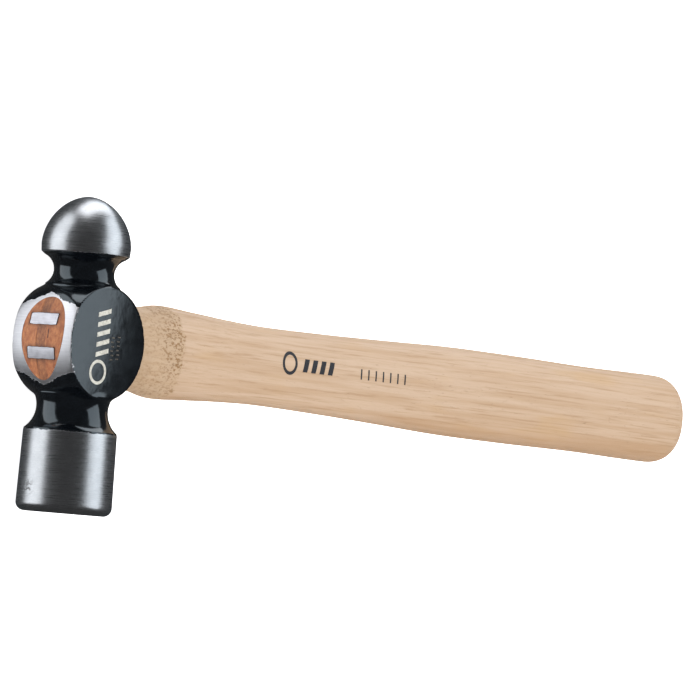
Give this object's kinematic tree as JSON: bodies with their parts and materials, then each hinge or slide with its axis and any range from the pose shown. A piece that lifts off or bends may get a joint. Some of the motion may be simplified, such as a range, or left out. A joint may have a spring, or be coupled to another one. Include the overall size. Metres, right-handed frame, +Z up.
{
  "type": "ball peen hammer",
  "caption": "Ball peen hammer with a black lacquered forged head, bright ball and striking face, and a hickory handle wedged through the eye.",
  "frame": {"origin": "centre of the bounding box's base, on the surface that the hammer lies on", "axes": "+X along the handle from the head to the butt, +Y along the head towards the ball, +Z up, out of the upper cheek"},
  "size_m": [0.2782, 0.08, 0.0243],
  "materials": {
    "black_lacquer": "glossy",
    "hickory": "satin",
    "wedge_wood": "matte",
    "bare_steel": "brushed"
  },
  "bodies": {
    "root": {"hammer_head": "black_lacquer", "handle": "hickory", "wood_wedge": "wedge_wood", "steel_wedge_peen_side": "bare_steel", "steel_wedge_face_side": "bare_steel"}
  },
  "joints": []
}
